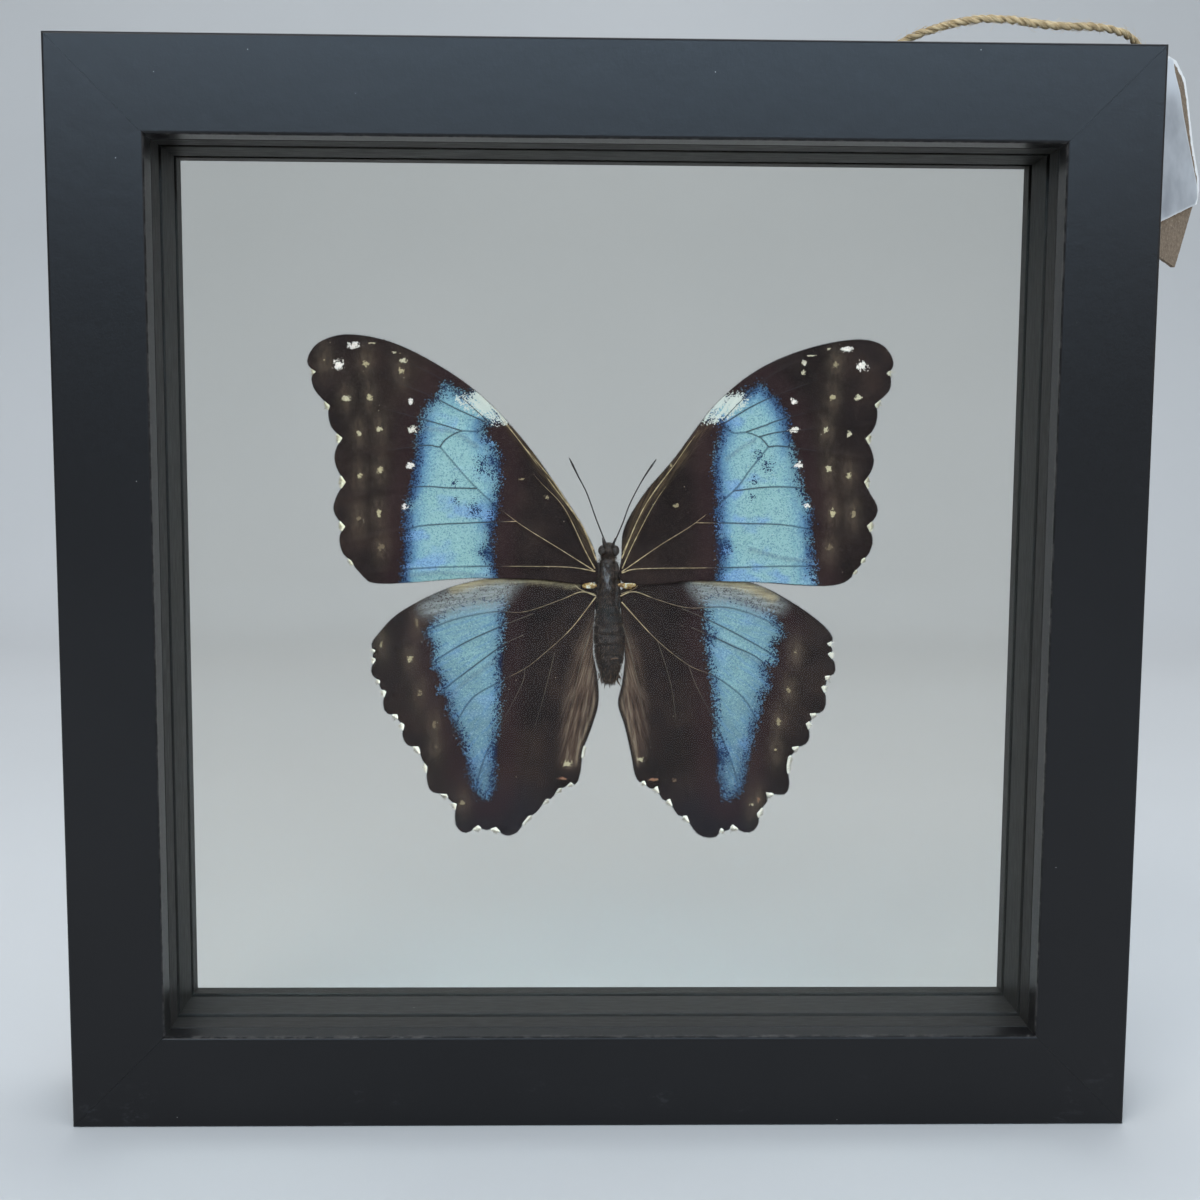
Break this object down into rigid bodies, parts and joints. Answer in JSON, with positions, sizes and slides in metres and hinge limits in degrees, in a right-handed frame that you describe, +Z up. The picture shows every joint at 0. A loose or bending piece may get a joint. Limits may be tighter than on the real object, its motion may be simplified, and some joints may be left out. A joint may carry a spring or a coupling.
{
  "type": "framed butterfly specimen",
  "caption": "Square black wooden see-through frame with a spread blue-banded butterfly held between two glass panes, with a jute twine and card tag at one corner.",
  "frame": {"origin": "middle of the underside of the bottom rail, the surface that the frame stands on", "axes": "+Z up, +X to the right seen from the front, +Y back through the frame; the frame faces -Y"},
  "size_m": [0.2366, 0.0343, 0.2278],
  "materials": {
    "black_paint": "wood moulding in satin black paint, with dust specks and light scuffs",
    "black_strip": "matt black painted strip",
    "pane": "clear float glass, a little dusty",
    "wing": "scaled insect wing, dark brown ground with an iridescent blue band, cream spots and fine pale veins",
    "body_hair": "dry brown insect body with short hair",
    "antenna": "thin black chitin",
    "glue": "glossy hardened amber glue",
    "jute": "twisted natural jute twine with loose fibres",
    "steel_wire": "staple wire",
    "card": "brown card with a rough cut edge",
    "label_paper": "plain smooth pale paper"
  },
  "bodies": {
    "root": {"rail_top": "black_paint", "rail_bottom": "black_paint", "rail_left": "black_paint", "rail_right": "black_paint", "front_strip_top": "black_strip", "front_strip_bottom": "black_strip", "front_strip_left": "black_strip", "front_strip_right": "black_strip", "spacer_top": "black_strip", "spacer_bottom": "black_strip", "spacer_left": "black_strip", "spacer_right": "black_strip", "rear_strip_top": "black_strip", "rear_strip_bottom": "black_strip", "rear_strip_left": "black_strip", "rear_strip_right": "black_strip", "front_glass": "pane", "back_glass": "pane", "forewing_left": "wing", "forewing_right": "wing", "hindwing_left": "wing", "hindwing_right": "wing", "body": "body_hair", "antenna_left": "antenna", "antenna_right": "antenna", "glue_dab_left": "glue", "glue_dab_right": "glue", "body_glue": "glue", "twine": "jute", "twine_staple": "steel_wire", "tag_card": "card", "tag_back_card": "card", "tag_label": "label_paper"}
  },
  "joints": []
}
